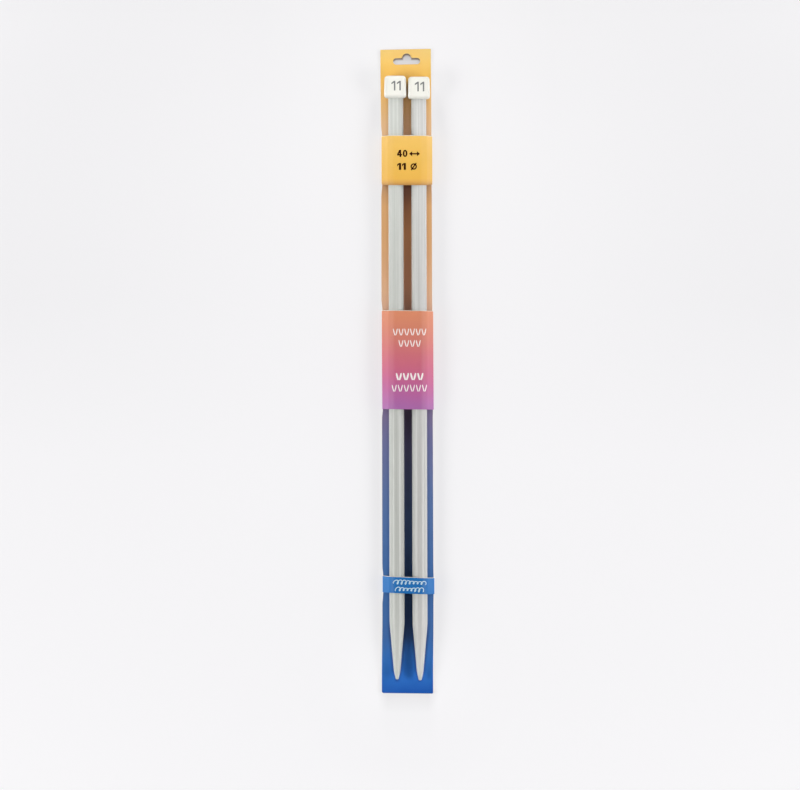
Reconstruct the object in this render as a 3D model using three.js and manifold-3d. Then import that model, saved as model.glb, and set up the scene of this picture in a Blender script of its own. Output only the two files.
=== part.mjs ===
// A pair of straight, single-pointed knitting needles held on a narrow
// printed hanging card by three paper bands.
//
// Millimetres. +X right, +Y towards the end caps and the hang hole,
// +Z out of the front of the pack. The pack lies on its back on z = 0.
// Lengths along the pack are given as a depth "s" below the card's top edge.

import * as THREE from 'three';
import { mergeVertices } from 'three/addons/utils/BufferGeometryUtils.js';
import { RoundedBoxGeometry } from 'three/addons/geometries/RoundedBoxGeometry.js';
import Module from 'manifold-3d';

// ---------------------------------------------------------------- dimensions

// hanging card
const CARD_LENGTH = 443.0;
const CARD_TOP_WIDTH = 35.3;       // the die-cut blank narrows slightly upwards
const CARD_BOTTOM_WIDTH = 36.1;
const CARD_THICK = 0.55;
const CARD_BACK_Z = 0.8;           // back face: carried by the bands' lapped seams
const CARD_TOP_CORNER = 0.5;
const CARD_BOTTOM_CORNER_L = 1.5;
const CARD_BOTTOM_CORNER_R = 1.0;

// hang hole: a slot with round ends and a dome above its middle
const HOLE_X = 0.6;                // centre, from the card's middle
const HOLE_WIDTH = 18.5;
const HOLE_BOTTOM_S = 10.4;
const HOLE_WING_S = 6.1;           // upper edge of the slot
const HOLE_DOME_S = 2.95;          // top of the dome
const HOLE_DOME_R = 3.0;
const HOLE_DOME_FOOT = 4.5;        // half width where the dome meets the slot

// needles
const NEEDLE_R = 5.5;              // size 11
const NEEDLE_LENGTH = 400.0;       // from the cap's underside to the point
const NEEDLE_BORE_R = 3.9;
const NEEDLE_BORE_END = 352.0;
const NEEDLE_TAPER_START = 360.8;
const LEFT_X = -7.6;
const RIGHT_X = 8.7;
const LEFT_CAP_S = 33.7;           // underside of the cap
const RIGHT_CAP_S = 34.4;          // this needle sits a little lower
const SHAFT_SIDES = 40;

// end caps: rounded cubes with a spigot that plugs the shaft
const CAP_SIZE = 15.3;
const CAP_TOP_SIZE = 14.4;
const CAP_HEIGHT = 15.3;
const CAP_ROUND = 2.2;
const SPIGOT_R = 3.6;
const SPIGOT_LENGTH = 14.0;

// paper bands, wrapped round the card and both needles, lapped at the back
const BAND_THICK = 0.35;
const BAND_CLEAR = 0.3;            // between a band and a needle
const BAND_SLACK_LEFT = 0.2;       // between a band and the card's edges
const BAND_SLACK_RIGHT = 0.45;
const LAP_HALF = 6.0;              // half width of the lapped seam
const BANDS = [
  // name, first s, last s, fall to the right in degrees, colour
  { name: 'top_band', from: 59.2, to: 92.8, fall: 0.3, colour: 0xf0c25f },
  { name: 'middle_band', from: 179.7, to: 247.0, fall: 0.75, colour: 0xcf7181 },
  { name: 'bottom_band', from: 362.9, to: 374.2, fall: 2.45, colour: 0x387ec6 },
];

const FIT_GAP = 0.3;               // between parts of the tilted needles and others

// ---------------------------------------------------------------- derived

const yOf = (s) => CARD_LENGTH / 2 - s;
const cardFrontZ = CARD_BACK_Z + CARD_THICK;
const cardHalf = (s) =>
  (CARD_TOP_WIDTH + (CARD_BOTTOM_WIDTH - CARD_TOP_WIDTH) * (s / CARD_LENGTH)) / 2;

// The cap's back rests on the card at one end and the shaft at the other,
// so each needle leans down towards its point.
const axisZAtCap = cardFrontZ + FIT_GAP + CAP_SIZE / 2;
const axisZAtTaper = cardFrontZ + FIT_GAP + NEEDLE_R;
const leanSlope = (axisZAtCap - axisZAtTaper) / NEEDLE_TAPER_START;
const lean = Math.atan(leanSlope);
const axisZ = (s) => axisZAtCap - (s - LEFT_CAP_S) * leanSlope;

// ---------------------------------------------------------------- helpers

const wasm = await Module();
wasm.setup();

// One closed indexed mesh with its faces pointing out.
function tidy(geometry) {
  const g = geometry.clone();
  for (const name of Object.keys(g.attributes)) {
    if (name !== 'position') g.deleteAttribute(name);
  }
  g.clearGroups();
  const merged = mergeVertices(g, 1e-4);
  const index = merged.getIndex().array;
  const p = merged.getAttribute('position');
  const kept = [];
  let volume = 0;
  const a = new THREE.Vector3();
  const b = new THREE.Vector3();
  const c = new THREE.Vector3();
  for (let i = 0; i < index.length; i += 3) {
    const [i0, i1, i2] = [index[i], index[i + 1], index[i + 2]];
    if (i0 === i1 || i1 === i2 || i2 === i0) continue;
    a.fromBufferAttribute(p, i0);
    b.fromBufferAttribute(p, i1);
    c.fromBufferAttribute(p, i2);
    volume += a.dot(b.clone().cross(c)) / 6;
    kept.push(i0, i1, i2);
  }
  if (volume < 0) {
    for (let i = 0; i < kept.length; i += 3) {
      [kept[i + 1], kept[i + 2]] = [kept[i + 2], kept[i + 1]];
    }
  }
  merged.setIndex(kept);
  return merged;
}

function toSolid(geometry) {
  const g = tidy(geometry);
  return new wasm.Manifold(new wasm.Mesh({
    numProp: 3,
    vertProperties: new Float32Array(g.getAttribute('position').array),
    triVerts: new Uint32Array(g.getIndex().array),
  }));
}

function fromSolid(solid) {
  const mesh = solid.getMesh();
  const g = new THREE.BufferGeometry();
  g.setAttribute('position', new THREE.BufferAttribute(new Float32Array(mesh.vertProperties), 3));
  g.setIndex(Array.from(mesh.triVerts));
  return g;
}

function material(colour, roughness, metalness = 0) {
  return new THREE.MeshStandardMaterial({ color: colour, roughness, metalness });
}

function part(name, geometry, mat) {
  const g = tidy(geometry);
  g.computeVertexNormals();
  const mesh = new THREE.Mesh(g, mat);
  mesh.name = name;
  return mesh;
}

// ---------------------------------------------------------------- card

function buildCard() {
  const top = CARD_LENGTH / 2;
  const ht = CARD_TOP_WIDTH / 2;
  const hb = CARD_BOTTOM_WIDTH / 2;
  const shape = new THREE.Shape();
  shape.moveTo(-ht + CARD_TOP_CORNER, top);
  shape.quadraticCurveTo(-ht, top, -ht, top - CARD_TOP_CORNER);
  shape.lineTo(-hb, -top + CARD_BOTTOM_CORNER_L);
  shape.quadraticCurveTo(-hb, -top, -hb + CARD_BOTTOM_CORNER_L, -top);
  shape.lineTo(hb - CARD_BOTTOM_CORNER_R, -top);
  shape.quadraticCurveTo(hb, -top, hb, -top + CARD_BOTTOM_CORNER_R);
  shape.lineTo(ht, top - CARD_TOP_CORNER);
  shape.quadraticCurveTo(ht, top, ht - CARD_TOP_CORNER, top);
  shape.closePath();

  // slot with round ends, dome above its middle, small flares where they meet
  const r = (HOLE_BOTTOM_S - HOLE_WING_S) / 2;
  const half = HOLE_WIDTH / 2;
  const mid = yOf((HOLE_BOTTOM_S + HOLE_WING_S) / 2);
  const low = yOf(HOLE_BOTTOM_S);
  const wing = yOf(HOLE_WING_S);
  const dome = yOf(HOLE_DOME_S) - HOLE_DOME_R;
  const hole = new THREE.Path();
  hole.moveTo(HOLE_X - half + r, low);
  hole.lineTo(HOLE_X + half - r, low);
  hole.absarc(HOLE_X + half - r, mid, r, -Math.PI / 2, Math.PI / 2, false);
  hole.lineTo(HOLE_X + HOLE_DOME_FOOT, wing);
  const a = 0.30;                  // where the flare ends on the dome
  hole.quadraticCurveTo(
    HOLE_X + HOLE_DOME_R + 0.25, wing,
    HOLE_X + HOLE_DOME_R * Math.cos(a), dome + HOLE_DOME_R * Math.sin(a));
  hole.absarc(HOLE_X, dome, HOLE_DOME_R, a, Math.PI - a, false);
  hole.quadraticCurveTo(
    HOLE_X - HOLE_DOME_R - 0.25, wing,
    HOLE_X - HOLE_DOME_FOOT, wing);
  hole.lineTo(HOLE_X - half + r, wing);
  hole.absarc(HOLE_X - half + r, mid, r, Math.PI / 2, 1.5 * Math.PI, false);
  shape.holes.push(hole);

  const g = new THREE.ExtrudeGeometry(shape, {
    depth: CARD_THICK, bevelEnabled: false, curveSegments: 8,
  });
  g.translate(0, 0, CARD_BACK_Z);
  return g;
}

// ---------------------------------------------------------------- bands

// The section of a band across the pack, in x and z: inner points with their
// outward normals, from the back seam up the right flank, over both needles
// and down the left flank.
function bandSection(s) {
  const zc = axisZ(s);
  const r = NEEDLE_R + BAND_CLEAR;
  const xl = -(cardHalf(s) + BAND_SLACK_LEFT);
  const xr = cardHalf(s) + BAND_SLACK_RIGHT;
  const leftBack = BAND_THICK;             // inner face, left of the lap
  const rightBack = 2 * BAND_THICK;        // inner face, right of it
  const foldL = 0.6;
  const foldR = 0.5;
  const cl = { x: xl + foldL, z: leftBack + foldL };
  const cr = { x: xr - foldR, z: rightBack + foldR };

  // The flank is the outer common tangent of the fold and the needle, both
  // turned the same way, so its normal's angle is the same on both.
  const tangent = (c1, r1, c2, r2, side) => {
    const dx = (c2.x - c1.x) * side;
    const dz = c2.z - c1.z;
    const d = Math.hypot(dx, dz);
    const dir = Math.atan2(dz, dx);
    // normal angle n with (c2 - c1) . n = r1 - r2 ... measured on the right side
    return dir - Math.acos((r1 - r2) / d);
  };
  const nr = tangent(cr, foldR, { x: RIGHT_X, z: zc }, r, 1);
  const nl = tangent(cl, foldL, { x: LEFT_X, z: zc }, r, -1);

  const points = [];
  const add = (c, radius, angle, side) => {
    const n = { x: side * Math.cos(angle), z: Math.sin(angle) };
    points.push({ x: c.x + radius * n.x, z: c.z + radius * n.z, n });
  };
  const arc = (c, radius, a0, a1, steps, side) => {
    for (let i = 0; i <= steps; i += 1) add(c, radius, a0 + ((a1 - a0) * i) / steps, side);
  };
  arc(cr, foldR, -Math.PI / 2, nr, 5, 1);
  arc({ x: RIGHT_X, z: zc }, r, nr, Math.PI / 2, 9, 1);
  arc({ x: LEFT_X, z: zc }, r, Math.PI / 2, nl, 9, -1);
  arc(cl, foldL, nl, -Math.PI / 2, 5, -1);
  return { points, leftBack, rightBack };
}

function buildBand(band) {
  const s = (band.from + band.to) / 2;
  const { points, leftBack, rightBack } = bandSection(s);
  const outer = [
    new THREE.Vector2(LAP_HALF, 0),
    new THREE.Vector2(LAP_HALF, BAND_THICK),
    ...points.map((p) => new THREE.Vector2(p.x + BAND_THICK * p.n.x, p.z + BAND_THICK * p.n.z)),
  ];
  const inner = [
    new THREE.Vector2(-LAP_HALF, leftBack),
    new THREE.Vector2(-LAP_HALF, rightBack),
    ...points.map((p) => new THREE.Vector2(p.x, p.z)),
  ];
  const shape = new THREE.Shape(outer);
  shape.holes.push(new THREE.Path(inner));
  const width = band.to - band.from;
  const g = new THREE.ExtrudeGeometry(shape, { depth: width, bevelEnabled: false, steps: 1 });
  g.rotateX(Math.PI / 2);
  g.translate(0, yOf(band.from), 0);

  // the front follows the needles' lean, and the whole band falls to the right
  const p = g.getAttribute('position');
  const yMid = yOf(s);
  const zFront = axisZ(s) + NEEDLE_R;
  const fall = Math.tan(THREE.MathUtils.degToRad(band.fall));
  for (let i = 0; i < p.count; i += 1) {
    const [x, y, z] = [p.getX(i), p.getY(i), p.getZ(i)];
    const share = THREE.MathUtils.clamp((z - 2) / (zFront - 2), 0, 1);
    p.setXYZ(i, x, y - fall * x, z + share * leanSlope * (y - yMid));
  }
  return g;
}

// ---------------------------------------------------------------- needles

// Local frame of a needle: +Y along the axis towards the cap, y = 0 at the
// cap's underside, the point at y = -NEEDLE_LENGTH.
function buildShaft() {
  const v = (radius, depth) => new THREE.Vector2(radius, -depth);
  const taperEnd = 393.9;
  const taperR = 2.42;
  const profile = [
    v(0, NEEDLE_LENGTH),
    v(0.7, NEEDLE_LENGTH - 0.15),
    v(1.1, NEEDLE_LENGTH - 0.7),
    v(1.55, NEEDLE_LENGTH - 2.2),
    v(2.02, NEEDLE_LENGTH - 4.1),
    v(taperR, taperEnd),
    v(NEEDLE_R - 0.16, NEEDLE_TAPER_START + 2.2),
    v(NEEDLE_R - 0.03, NEEDLE_TAPER_START + 0.4),
    v(NEEDLE_R, NEEDLE_TAPER_START - 1.2),
    v(NEEDLE_R, 180),
    v(NEEDLE_R, FIT_GAP + 0.3),
    v(NEEDLE_R - 0.3, FIT_GAP),
    v(NEEDLE_BORE_R, FIT_GAP),
    v(NEEDLE_BORE_R, 180),
    v(NEEDLE_BORE_R, NEEDLE_BORE_END),
    v(1.0, NEEDLE_BORE_END + 20),
    v(0, NEEDLE_BORE_END + 20.6),
  ];
  return new THREE.LatheGeometry(profile, SHAFT_SIDES);
}

function buildCap() {
  const box = new RoundedBoxGeometry(CAP_SIZE, CAP_HEIGHT, CAP_SIZE, 4, CAP_ROUND);
  const p = box.getAttribute('position');
  for (let i = 0; i < p.count; i += 1) {
    const up = p.getY(i) / CAP_HEIGHT + 0.5;
    const k = 1 + (CAP_TOP_SIZE / CAP_SIZE - 1) * up;
    p.setXYZ(i, p.getX(i) * k, p.getY(i), p.getZ(i) * k);
  }
  box.translate(0, CAP_HEIGHT / 2, 0);
  const spigot = new THREE.LatheGeometry([
    new THREE.Vector2(0, -SPIGOT_LENGTH),
    new THREE.Vector2(SPIGOT_R - 0.6, -SPIGOT_LENGTH),
    new THREE.Vector2(SPIGOT_R, -SPIGOT_LENGTH + 1.2),
    new THREE.Vector2(SPIGOT_R, CAP_HEIGHT / 2),
    new THREE.Vector2(0, CAP_HEIGHT / 2),
  ], 24);
  return fromSolid(toSolid(box).add(toSolid(spigot)));
}

// ---------------------------------------------------------------- assembly

const pack = new THREE.Group();

const cardboard = material(0xc98f6a, 0.45);
const greyPlastic = material(0xc9cbc6, 0.42);
const ivoryPlastic = material(0xf6f6ec, 0.4);

pack.add(part('back_card', buildCard(), cardboard));
for (const band of BANDS) {
  pack.add(part(band.name, buildBand(band), material(band.colour, 0.45)));
}

for (const [side, x, capS] of [['left', LEFT_X, LEFT_CAP_S], ['right', RIGHT_X, RIGHT_CAP_S]]) {
  const needle = new THREE.Group();
  needle.position.set(x, yOf(capS), axisZ(capS));
  needle.rotation.x = lean;
  needle.add(part(`${side}_shaft`, buildShaft(), greyPlastic));
  needle.add(part(`${side}_cap`, buildCap(), ivoryPlastic));
  pack.add(needle);
}

// The origin is the middle of the pack's footprint, on the surface it lies on.
pack.updateMatrixWorld(true);
const footprint = new THREE.Box3().setFromObject(pack, true);
pack.position.set(
  -(footprint.min.x + footprint.max.x) / 2,
  -(footprint.min.y + footprint.max.y) / 2,
  -footprint.min.z,
);
pack.updateMatrixWorld(true);

export default pack;
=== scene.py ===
import math

import bmesh
import bpy
import numpy as np
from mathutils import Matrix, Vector, noise
from mathutils.bvhtree import BVHTree
from mathutils.geometry import delaunay_2d_cdt


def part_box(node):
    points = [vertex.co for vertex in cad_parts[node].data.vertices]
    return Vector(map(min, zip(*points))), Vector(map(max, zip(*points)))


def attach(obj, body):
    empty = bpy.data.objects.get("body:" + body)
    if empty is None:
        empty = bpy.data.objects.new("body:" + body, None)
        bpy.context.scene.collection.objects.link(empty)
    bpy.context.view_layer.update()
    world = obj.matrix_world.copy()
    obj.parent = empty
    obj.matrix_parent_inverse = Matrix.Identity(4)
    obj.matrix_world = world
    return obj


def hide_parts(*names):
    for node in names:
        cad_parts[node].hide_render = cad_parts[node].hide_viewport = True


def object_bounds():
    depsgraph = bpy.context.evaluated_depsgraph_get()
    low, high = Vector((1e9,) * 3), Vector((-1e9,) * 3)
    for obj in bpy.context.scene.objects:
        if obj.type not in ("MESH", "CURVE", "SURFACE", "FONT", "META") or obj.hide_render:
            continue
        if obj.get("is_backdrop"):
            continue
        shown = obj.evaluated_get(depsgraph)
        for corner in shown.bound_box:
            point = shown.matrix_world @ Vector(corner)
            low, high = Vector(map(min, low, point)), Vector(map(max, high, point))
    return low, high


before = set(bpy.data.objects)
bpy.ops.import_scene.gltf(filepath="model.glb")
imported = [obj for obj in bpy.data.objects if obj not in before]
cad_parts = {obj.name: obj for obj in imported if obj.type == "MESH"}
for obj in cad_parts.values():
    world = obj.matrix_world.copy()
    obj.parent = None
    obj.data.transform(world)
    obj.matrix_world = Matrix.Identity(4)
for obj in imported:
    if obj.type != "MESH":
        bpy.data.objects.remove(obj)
CAD_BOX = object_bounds()

# A pair of knitting needles on a narrow hanging card, held by three paper
# bands. Lengths are in millimetres until a mesh is made. "s" is a depth below
# the card's top edge, and x is measured from the card's middle.

MM = 0.001
lo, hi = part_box("back_card")
SHIFT_X = (lo.x + hi.x) / 2 / MM
CARD_LENGTH = (hi.y - lo.y) / MM
CARD_BACK_Z = lo.z / MM
CARD_FRONT_Z = hi.z / MM

CARD_TOP_WIDTH = 35.3
CARD_BOTTOM_WIDTH = 36.1

HOLE_X = 0.6
HOLE_WIDTH = 18.5
HOLE_BOTTOM_S = 10.4
HOLE_WING_S = 6.1
HOLE_DOME_S = 2.95
HOLE_DOME_R = 3.0
HOLE_DOME_FOOT = 4.5

NEEDLE_R = 5.5
NEEDLE_LENGTH = 400.0
BORE_R = 3.9
BORE_END = 352.0
TAPER_START = 360.8
NEEDLES = {"left": (-7.6, 33.7), "right": (8.7, 34.4)}
SLIM = 0.945               # the shafts look this much thinner in the photo
ASIDE = {"left": 0.30, "right": -0.20}

CAP_SIZE = 15.3
CAP_TOP_SIZE = 14.4
CAP_HEIGHT = 15.3
FIT_GAP = 0.3

BAND_SKIN = 0.35           # from the fitted inner face to the outer one
PAPER = 0.28               # the paper's own thickness
BAND_CLEAR = 0.3
LAP_HALF = 6.0
BANDS = {
    "top_band": (59.2, 92.8, 0.3),
    "middle_band": (179.7, 247.0, 0.75),
    "bottom_band": (362.9, 374.2, 2.45),
}

AXIS_Z_CAP = CARD_FRONT_Z + FIT_GAP + CAP_SIZE / 2
AXIS_Z_TAPER = CARD_FRONT_Z + FIT_GAP + NEEDLE_R
LEAN_SLOPE = (AXIS_Z_CAP - AXIS_Z_TAPER) / TAPER_START
LEAN = math.atan(LEAN_SLOPE)


def y_of(s):
    return CARD_LENGTH / 2 - s


def card_half(s):
    return (CARD_TOP_WIDTH + (CARD_BOTTOM_WIDTH - CARD_TOP_WIDTH) * s / CARD_LENGTH) / 2


def pinch(s):
    """1 where a band pulls the card's edges in, 0 away from the bands."""
    out = 0.0
    for s0, s1, _ in BANDS.values():
        away = max(s0 - s, s - s1, 0.0)
        out = max(out, 1.0 - smooth(away / 7.5))
    return out


def edge_left(s):
    """Distance of the card's left edge from its middle line."""
    return card_half(s) - 0.15 - 0.15 * smooth(s / 60) - 0.25 * smooth((s - 180) / 90) - 0.62 * pinch(s)


def edge_right(s):
    return card_half(s) - 0.25 - 0.05 * smooth(s / 120) + 0.18 * smooth((s - 180) / 90) - (0.12 - 0.26 * smooth((s - 110) / 50)) * pinch(s)


def axis_z(s):
    return AXIS_Z_CAP - (s - NEEDLES["left"][1]) * LEAN_SLOPE


def smooth(t):
    t = max(0.0, min(1.0, t))
    return t * t * (3 - 2 * t)


def wave(x, y, z=0.0):
    return noise.noise(Vector((x, y, z)))


# ------------------------------------------------------------------ meshes


def new_object(name, verts, faces, materials, slots=None, sharp_deg=35.0, uv=None):
    """A closed mesh from points in millimetres, smooth except at sharp edges."""
    mesh = bpy.data.meshes.new(name)
    points = [((x + SHIFT_X) * MM, y * MM, z * MM) for x, y, z in verts]
    mesh.from_pydata(points, [], faces)
    for m in materials:
        mesh.materials.append(m)
    if slots is not None:
        mesh.polygons.foreach_set("material_index", slots)
    bm = bmesh.new()
    bm.from_mesh(mesh)
    bmesh.ops.recalc_face_normals(bm, faces=bm.faces)
    limit = math.radians(sharp_deg)
    for f in bm.faces:
        f.smooth = True
    for e in bm.edges:
        e.smooth = len(e.link_faces) == 2 and e.calc_face_angle(math.pi) < limit
    if uv is not None:
        layer = bm.loops.layers.uv.new("UVMap")
        for f in bm.faces:
            for loop in f.loops:
                loop[layer].uv = uv(loop.vert.index, f)
    bm.to_mesh(mesh)
    bm.free()
    mesh.update()
    ob = bpy.data.objects.new(name, mesh)
    bpy.context.scene.collection.objects.link(ob)
    return ob


def grid_faces(rows, cols, close_rows=False, close_cols=False):
    faces = []
    for i in range(rows if close_rows else rows - 1):
        for j in range(cols if close_cols else cols - 1):
            a = i * cols + j
            b = i * cols + (j + 1) % cols
            c = ((i + 1) % rows) * cols + (j + 1) % cols
            d = ((i + 1) % rows) * cols + j
            faces.append((a, b, c, d))
    return faces


# ------------------------------------------------------------------ materials


def srgb(r, g, b):
    """Linear colour of an 8-bit display colour."""
    out = []
    for v in (r, g, b):
        v = v / 255
        out.append(v / 12.92 if v <= 0.04045 else ((v + 0.055) / 1.055) ** 2.4)
    return (*out, 1.0)


class Nodes:
    """A short way to write a node tree."""

    def __init__(self, name):
        self.material = bpy.data.materials.new(name)
        self.material.use_nodes = True
        self.tree = self.material.node_tree
        self.shader = self.tree.nodes["Principled BSDF"]

    def add(self, kind, **inputs):
        node = self.tree.nodes.new(kind)
        for key, value in inputs.items():
            if hasattr(node, key) and key not in node.inputs:
                setattr(node, key, value)
        return node

    def link(self, a, b):
        self.tree.links.new(a, b)
        return b

    def math(self, operation, a, b=None, clamp=False):
        node = self.tree.nodes.new("ShaderNodeMath")
        node.operation = operation
        node.use_clamp = clamp
        for i, v in enumerate((a, b)):
            if v is None:
                continue
            if isinstance(v, (int, float)):
                node.inputs[i].default_value = v
            else:
                self.link(v, node.inputs[i])
        return node.outputs[0]

    def coordinates(self, scale=(1, 1, 1), kind="Object", rotation=(0, 0, 0)):
        tex = self.tree.nodes.new("ShaderNodeTexCoord")
        mapping = self.tree.nodes.new("ShaderNodeMapping")
        mapping.inputs["Scale"].default_value = scale
        mapping.inputs["Rotation"].default_value = rotation
        self.link(tex.outputs[kind], mapping.inputs["Vector"])
        return mapping.outputs["Vector"]

    def noise(self, vector, scale, detail=3.0, roughness=0.5, distortion=0.0):
        node = self.tree.nodes.new("ShaderNodeTexNoise")
        node.inputs["Scale"].default_value = scale
        node.inputs["Detail"].default_value = detail
        node.inputs["Roughness"].default_value = roughness
        node.inputs["Distortion"].default_value = distortion
        self.link(vector, node.inputs["Vector"])
        return node.outputs["Fac"]

    def range(self, value, from_min, from_max, to_min, to_max, clamp=True, kind="LINEAR"):
        node = self.tree.nodes.new("ShaderNodeMapRange")
        node.clamp = clamp
        node.interpolation_type = kind
        self.link(value, node.inputs["Value"])
        for key, v in (("From Min", from_min), ("From Max", from_max), ("To Min", to_min), ("To Max", to_max)):
            node.inputs[key].default_value = v
        return node.outputs["Result"]

    def ramp(self, value, stops, interpolation="LINEAR"):
        node = self.tree.nodes.new("ShaderNodeValToRGB")
        node.color_ramp.interpolation = interpolation
        elements = node.color_ramp.elements
        while len(elements) < len(stops):
            elements.new(0.5)
        for e, (place, colour) in zip(elements, stops):
            e.position = place
            e.color = colour
        self.link(value, node.inputs["Fac"])
        return node.outputs["Color"]

    def mix(self, factor, a, b, blend="MIX"):
        node = self.tree.nodes.new("ShaderNodeMix")
        node.data_type = "RGBA"
        node.blend_type = blend
        for v, socket in ((factor, node.inputs[0]), (a, node.inputs[6]), (b, node.inputs[7])):
            if isinstance(v, (int, float, tuple)):
                socket.default_value = v
            else:
                self.link(v, socket)
        return node.outputs[2]

    def shade(self, colour, value, low=0.95, high=1.05):
        """colour times a grey that runs from low to high as value runs from 0.3 to 0.7."""
        grey = self.range(value, 0.3, 0.7, low, high)
        combine = self.tree.nodes.new("ShaderNodeCombineColor")
        for i in range(3):
            self.link(grey, combine.inputs[i])
        return self.mix(1.0, colour, combine.outputs[0], "MULTIPLY")

    def axis(self, which, vector=None):
        if vector is None:
            vector = self.coordinates()
        node = self.tree.nodes.new("ShaderNodeSeparateXYZ")
        self.link(vector, node.inputs[0])
        return node.outputs[which]

    def bump(self, heights, distance, strength=1.0):
        previous = None
        for height, d in zip(heights, distance):
            node = self.tree.nodes.new("ShaderNodeBump")
            node.inputs["Strength"].default_value = strength
            node.inputs["Distance"].default_value = d
            self.link(height, node.inputs["Height"])
            if previous is not None:
                self.link(previous, node.inputs["Normal"])
            previous = node.outputs["Normal"]
        self.link(previous, self.shader.inputs["Normal"])

    def set(self, **sockets):
        for key, value in sockets.items():
            socket = self.shader.inputs[key.replace("_", " ")]
            if isinstance(value, (int, float, tuple)):
                socket.default_value = value
            else:
                self.link(value, socket)
        return self.material


def along(n, start_s, end_s, drift=10.0):
    """0 at depth start_s, 1 at end_s, with a faint drift so that no blend line is ruled straight."""
    y = n.axis("Y")
    if drift:
        wander = n.noise(n.coordinates((1, 1, 1)), 38.0, 2.0)
        y = n.math("ADD", y, n.math("MULTIPLY", n.math("SUBTRACT", wander, 0.5), drift * MM))
    return n.range(y, y_of(start_s) * MM, y_of(end_s) * MM, 0.0, 1.0)


def printed_paper(name, colour_of, roughness=0.50, grain=1.0):
    """Coated, printed paper: fine mottle in the ink, a satin coat with faint fibre in it."""
    n = Nodes(name)
    colour = colour_of(n)
    fine = n.noise(n.coordinates(), 5200.0, 2.0, 0.6)
    cloud = n.noise(n.coordinates(), 160.0, 3.0, 0.55)
    fibre = n.noise(n.coordinates((1.0, 0.28, 1.0)), 1500.0, 4.0, 0.6)
    colour = n.shade(colour, fine, 1 - 0.03 * grain, 1 + 0.03 * grain)
    colour = n.shade(colour, cloud, 1 - 0.008 * grain, 1 + 0.008 * grain)
    rough = n.range(cloud, 0.3, 0.7, roughness - 0.03, roughness + 0.03)
    n.bump([fibre, cloud], [0.000006, 0.000012], 0.6)
    return n.set(Base_Color=colour, Roughness=rough, Specular_IOR_Level=0.42)


def cut_board(name, pale, dark):
    """The cut edge of board or paper: pressed layers of fibre."""
    n = Nodes(name)
    layers = n.noise(n.coordinates((0.25, 0.25, 1.0)), 9000.0, 3.0, 0.6)
    specks = n.noise(n.coordinates(), 2600.0, 3.0, 0.65)
    colour = n.mix(n.range(layers, 0.35, 0.65, 0.0, 1.0), pale, dark)
    colour = n.shade(colour, specks, 0.93, 1.05)
    n.bump([layers], [0.00003], 0.8)
    return n.set(Base_Color=colour, Roughness=0.85, Specular_IOR_Level=0.3)


def plain_board(name, base, fleck):
    """The uncoated back of the board, with fibre and small flecks."""
    n = Nodes(name)
    fibre = n.noise(n.coordinates((1.0, 0.3, 1.0)), 1300.0, 5.0, 0.65, 0.4)
    cloud = n.noise(n.coordinates(), 90.0, 4.0, 0.6)
    spots = n.noise(n.coordinates((1.0, 0.45, 1.0), rotation=(0, 0, 0.5)), 3000.0, 2.0, 0.5)
    colour = n.mix(n.range(spots, 0.68, 0.76, 0.0, 0.55), base, fleck)
    colour = n.shade(colour, fibre, 0.95, 1.04)
    colour = n.shade(colour, cloud, 0.97, 1.02)
    n.bump([fibre], [0.00004], 0.7)
    return n.set(Base_Color=colour, Roughness=0.88, Specular_IOR_Level=0.3)


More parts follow.
